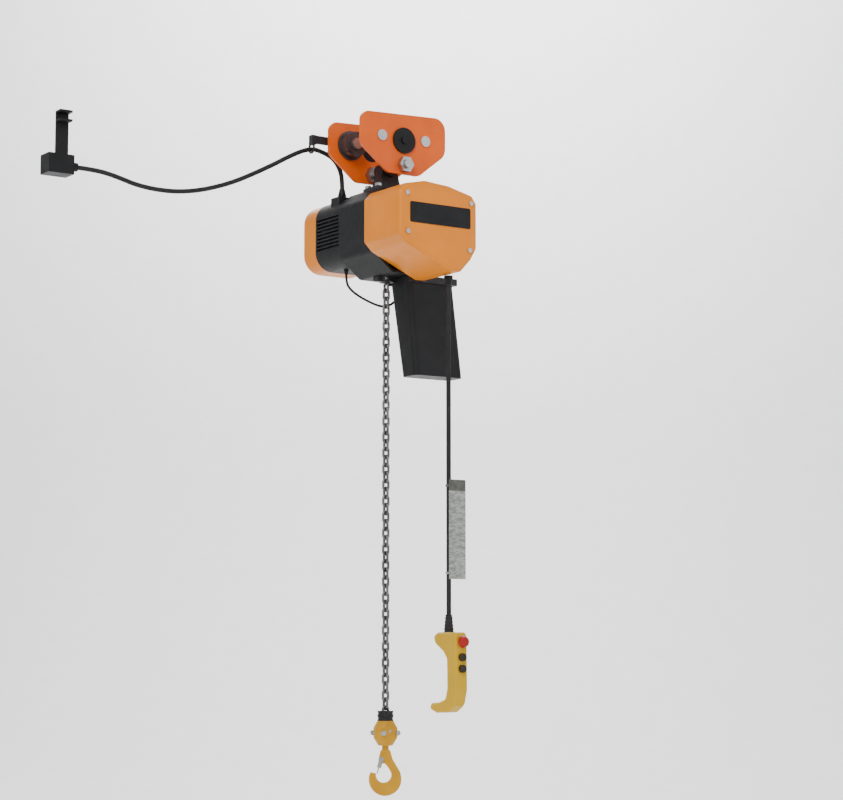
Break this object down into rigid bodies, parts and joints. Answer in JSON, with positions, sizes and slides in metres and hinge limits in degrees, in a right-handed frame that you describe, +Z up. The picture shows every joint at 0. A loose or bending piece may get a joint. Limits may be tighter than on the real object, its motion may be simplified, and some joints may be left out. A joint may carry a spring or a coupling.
{
  "type": "electric chain hoist",
  "caption": "Electric chain hoist on a push trolley for an I-beam, with load chain and swivel hook, chain container, control pendant and supply cable",
  "frame": {"origin": "middle of the beam's bottom flange, on its underside, straight above the load chain", "axes": "+X along the beam, -Y towards the control cover, +Z up"},
  "size_m": [1.043, 0.491, 1.6107],
  "materials": {
    "orange_cover": "satin moulded plastic",
    "plate_paint": "gloss paint on steel plate",
    "black_casting": "black powder coat on die-cast aluminium",
    "zinc_steel": "zinc-plated steel",
    "dark_steel": "black painted steel",
    "wheel_iron": "turned cast iron",
    "chain_steel": "case-hardened chain steel",
    "gear_steel": "ground steel",
    "copper": "lacquered copper",
    "friction": "friction lining",
    "black_plastic": "black moulded plastic",
    "hook_paint": "yellow-orange paint on forged steel",
    "latch_steel": "zinc-plated sheet steel",
    "black_rubber": "black rubber",
    "pendant_yellow": "yellow moulded plastic",
    "button_red": "red plastic",
    "button_dark": "dark plastic",
    "tag": "grey card in plastic"
  },
  "bodies": {
    "trolley": {"side_plate_front": "plate_paint", "side_plate_rear": "plate_paint", "wheel_axles": "zinc_steel", "suspension_shaft": "zinc_steel", "shaft_nuts": "zinc_steel", "port_caps": "black_plastic", "cable_arm": "dark_steel", "supply_cable": "black_rubber", "beam_socket": "black_plastic"},
    "wheel_fl": {"wheel_front_left": "wheel_iron"},
    "wheel_fr": {"wheel_front_right": "wheel_iron"},
    "wheel_rl": {"wheel_rear_left": "wheel_iron"},
    "wheel_rr": {"wheel_rear_right": "wheel_iron"},
    "hoist": {"suspender": "dark_steel", "suspender_bolts": "zinc_steel", "gear_case": "black_casting", "ball_bearings": "gear_steel", "chain_guide": "black_plastic", "load_chain_top": "chain_steel", "control_cover": "orange_cover", "cover_screws": "zinc_steel", "badge_plate": "black_plastic", "contactors": "black_plastic", "motor_shell": "black_casting", "end_shield": "black_casting", "stator_core": "gear_steel", "stator_windings": "copper", "brake_magnet": "dark_steel", "fan_cover": "orange_cover", "chain_container": "black_plastic", "container_bracket": "dark_steel", "cable_glands": "black_plastic", "control_lead": "black_rubber", "pendant_cord": "black_rubber", "warning_tag": "tag", "pendant_boot": "black_rubber", "pendant_shell": "pendant_yellow", "pendant_switches": "black_plastic"},
    "motor_rotor": {"rotor": "gear_steel", "cooling_fan": "black_plastic", "brake_disc": "friction"},
    "armature": {"brake_armature": "dark_steel"},
    "slip_gear": {"clutch_gear": "gear_steel"},
    "second_shaft": {"pinion_shaft": "gear_steel"},
    "sheave": {"load_sheave": "gear_steel", "load_gear": "gear_steel"},
    "lever": {"limit_lever": "dark_steel"},
    "hook_block": {"load_chain_6": "chain_steel", "chain_cushion": "black_rubber", "hook_yoke": "hook_paint", "yoke_bolts": "zinc_steel"},
    "hook": {"load_hook": "hook_paint"},
    "latch": {"hook_latch": "latch_steel"},
    "button_up": {"up_button": "button_dark"},
    "button_down": {"down_button": "button_dark"},
    "button_stop": {"stop_button": "button_red"},
    "chain_2": {"load_chain_2": "chain_steel"},
    "chain_3": {"load_chain_3": "chain_steel"},
    "chain_4": {"load_chain_4": "chain_steel"},
    "chain_5": {"load_chain_5": "chain_steel"}
  },
  "joints": [
    {"name": "wheel_front_left_roll", "type": "hinge", "parent": "trolley", "child": "wheel_fl", "pos_m": [-0.062, 0, 0.041], "axis": [0, 1, 0], "continuous": true},
    {"name": "wheel_front_right_roll", "type": "hinge", "parent": "trolley", "child": "wheel_fr", "pos_m": [0.062, 0, 0.041], "axis": [0, 1, 0], "continuous": true},
    {"name": "wheel_rear_left_roll", "type": "hinge", "parent": "trolley", "child": "wheel_rl", "pos_m": [-0.062, 0, 0.041], "axis": [0, 1, 0], "continuous": true},
    {"name": "wheel_rear_right_roll", "type": "hinge", "parent": "trolley", "child": "wheel_rr", "pos_m": [0.062, 0, 0.041], "axis": [0, 1, 0], "continuous": true},
    {"name": "hoist_swing", "type": "hinge", "parent": "trolley", "child": "hoist", "pos_m": [0, 0, -0.024], "axis": [0, 1, 0], "range_deg": [-10, 10], "deforming": ["supply_cable"]},
    {"name": "rotor_spin", "type": "hinge", "parent": "hoist", "child": "motor_rotor", "pos_m": [0, 0, -0.166], "axis": [0, 1, 0], "continuous": true},
    {"name": "brake_release", "type": "slide", "parent": "hoist", "child": "armature", "axis": [0, -1, 0], "range_m": [0, 0.00055], "stiffness_N_per_m": 2000, "springref_m": -0.002},
    {"name": "slip_gear_turn", "type": "hinge", "parent": "hoist", "child": "slip_gear", "pos_m": [-0.02547, 0, -0.2031], "axis": [0, 1, 0], "continuous": true},
    {"name": "hook_lift", "type": "slide", "parent": "hoist", "child": "hook_block", "axis": [0, 0, 1], "range_m": [0, 0.95], "deforming": ["load_chain_top", "load_chain_2", "load_chain_3", "load_chain_4", "load_chain_5"]},
    {"name": "sheave_turn", "type": "hinge", "parent": "hoist", "child": "sheave", "pos_m": [0.03069, 0, -0.222], "axis": [0, 1, 0], "continuous": true},
    {"name": "second_shaft_turn", "type": "hinge", "parent": "hoist", "child": "second_shaft", "pos_m": [-0.02547, 0, -0.2031], "axis": [0, 1, 0], "continuous": true},
    {"name": "chain_2_rise", "type": "slide", "parent": "hoist", "child": "chain_2", "axis": [0, 0, 1], "range_m": [0, 0.19]},
    {"name": "chain_3_rise", "type": "slide", "parent": "hoist", "child": "chain_3", "axis": [0, 0, 1], "range_m": [0, 0.38]},
    {"name": "chain_4_rise", "type": "slide", "parent": "hoist", "child": "chain_4", "axis": [0, 0, 1], "range_m": [0, 0.57]},
    {"name": "chain_5_rise", "type": "slide", "parent": "hoist", "child": "chain_5", "axis": [0, 0, 1], "range_m": [0, 0.76]},
    {"name": "limit_lever_tip", "type": "hinge", "parent": "hoist", "child": "lever", "pos_m": [-0.024, 0, -0.288], "axis": [0, -1, 0], "range_deg": [0, 7]},
    {"name": "hook_swivel", "type": "hinge", "parent": "hook_block", "child": "hook", "pos_m": [0, 0, -1.388], "axis": [0, 0, 1], "continuous": true},
    {"name": "latch_open", "type": "hinge", "parent": "hook", "child": "latch", "pos_m": [-0.00743, 0.00509, -1.424], "axis": [-0.565, -0.8251, 0], "range_deg": [0, 35], "stiffness_Nm_per_rad": 0.03, "springref_deg": -17.19},
    {"name": "up_press", "type": "slide", "parent": "hoist", "child": "button_up", "axis": [0, 1, 0], "range_m": [0, 0.005], "stiffness_N_per_m": 400},
    {"name": "down_press", "type": "slide", "parent": "hoist", "child": "button_down", "axis": [0, 1, 0], "range_m": [0, 0.005], "stiffness_N_per_m": 400},
    {"name": "stop_press", "type": "slide", "parent": "hoist", "child": "button_stop", "axis": [0, 1, 0], "range_m": [0, 0.0045], "stiffness_N_per_m": 600}
  ],
  "couplings": [
    {"joint": "slip_gear_turn", "follows": "rotor_spin", "ratio": -0.15385},
    {"joint": "sheave_turn", "follows": "hook_lift", "rad_per_m": 33.069},
    {"joint": "second_shaft_turn", "follows": "hook_lift", "rad_per_m": -120.61},
    {"joint": "chain_2_rise", "follows": "hook_lift", "ratio": 0.2},
    {"joint": "chain_3_rise", "follows": "hook_lift", "ratio": 0.4},
    {"joint": "chain_4_rise", "follows": "hook_lift", "ratio": 0.6},
    {"joint": "chain_5_rise", "follows": "hook_lift", "ratio": 0.8}
  ]
}
